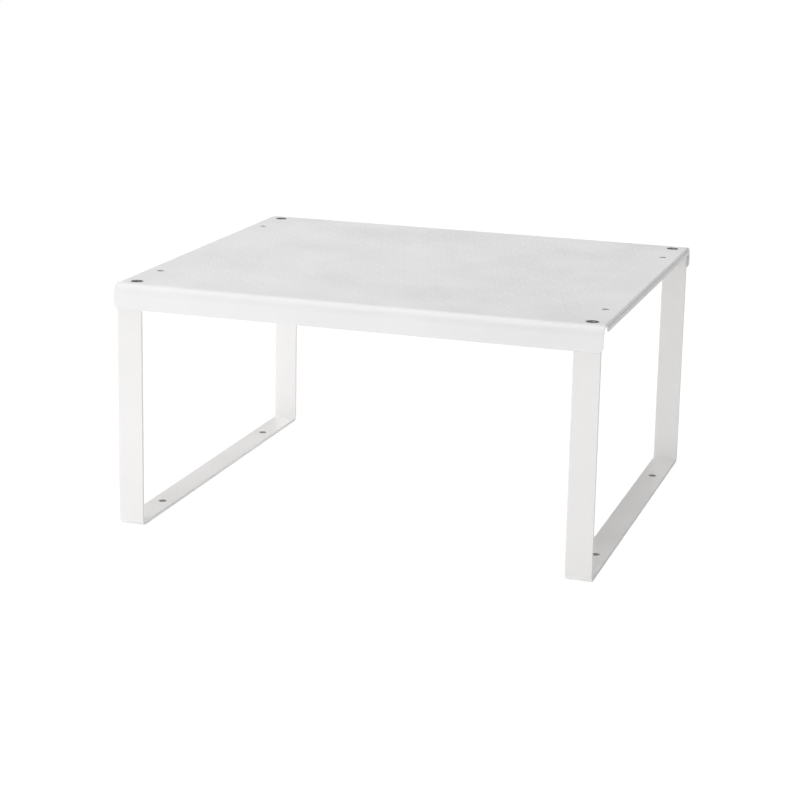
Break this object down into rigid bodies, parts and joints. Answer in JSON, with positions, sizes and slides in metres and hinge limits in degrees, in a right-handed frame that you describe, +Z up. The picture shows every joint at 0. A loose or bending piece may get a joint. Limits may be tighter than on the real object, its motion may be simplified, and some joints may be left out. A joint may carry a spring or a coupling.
{
  "type": "shelf riser",
  "caption": "Free-standing cupboard shelf riser: a pressed sheet shelf with turned-down edges, screwed onto U-shaped flat-bar legs.",
  "frame": {"origin": "on the standing surface, under the middle of the shelf", "axes": "+X along the shelf's width to the right as seen from the front, +Y from the front skirt to the rear skirt, +Z up"},
  "size_m": [0.32, 0.28, 0.16],
  "materials": {
    "shelf_coat": "white powder coat with a fine satin grain over pressed sheet steel",
    "leg_coat": "white powder coat, satin, over bent flat bar",
    "screw_steel": "bare zinc-plated steel, semi-bright",
    "nut_steel": "bare zinc-plated steel, dull"
  },
  "bodies": {
    "root": {"shelf_plate": "shelf_coat", "left_leg": "leg_coat", "right_leg": "leg_coat", "front_left_screw": "screw_steel", "front_right_screw": "screw_steel", "rear_left_screw": "screw_steel", "rear_right_screw": "screw_steel", "front_left_nut": "nut_steel", "front_right_nut": "nut_steel", "rear_left_nut": "nut_steel", "rear_right_nut": "nut_steel"}
  },
  "joints": []
}
